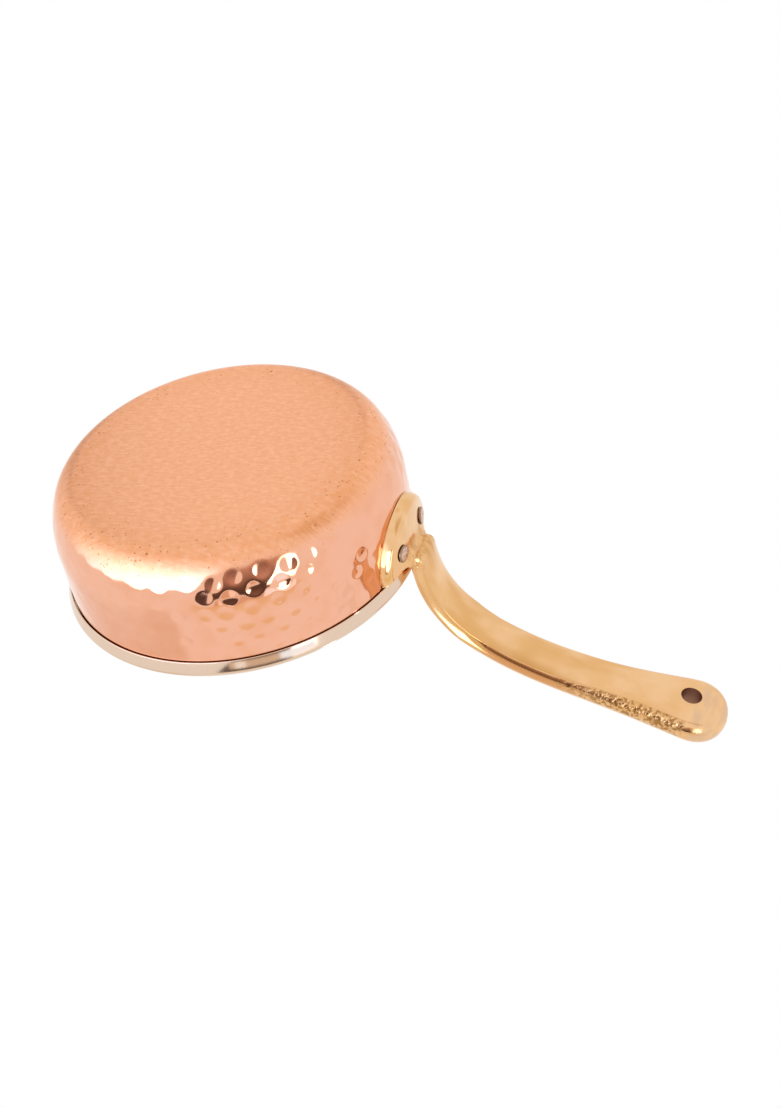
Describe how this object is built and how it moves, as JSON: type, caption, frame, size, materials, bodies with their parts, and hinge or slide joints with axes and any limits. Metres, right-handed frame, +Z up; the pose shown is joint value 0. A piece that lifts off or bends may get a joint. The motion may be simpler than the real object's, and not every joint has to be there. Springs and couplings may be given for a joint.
{
  "type": "frying pan",
  "caption": "Round copper pan with upright walls, a steel lining folded over the rim and a riveted cast brass handle that sweeps up to a wide end with a hanging hole; for cooking on a stove.",
  "frame": {"origin": "centre of the flat base, on its resting face", "axes": "+Z up out of the pan's mouth, +X from the pan's middle towards the handle"},
  "size_m": [0.3003, 0.1652, 0.1403],
  "materials": {
    "copper": "hammered copper, brightly polished on the wall and brushed on the base",
    "lining_steel": "satin inside, polished on the folded rim",
    "brass": "polished cast brass",
    "rivet_steel": "peened steel"
  },
  "bodies": {
    "root": {"copper_shell": "copper", "steel_liner": "lining_steel", "brass_handle": "brass", "rivet_left": "rivet_steel", "rivet_right": "rivet_steel"}
  },
  "joints": []
}
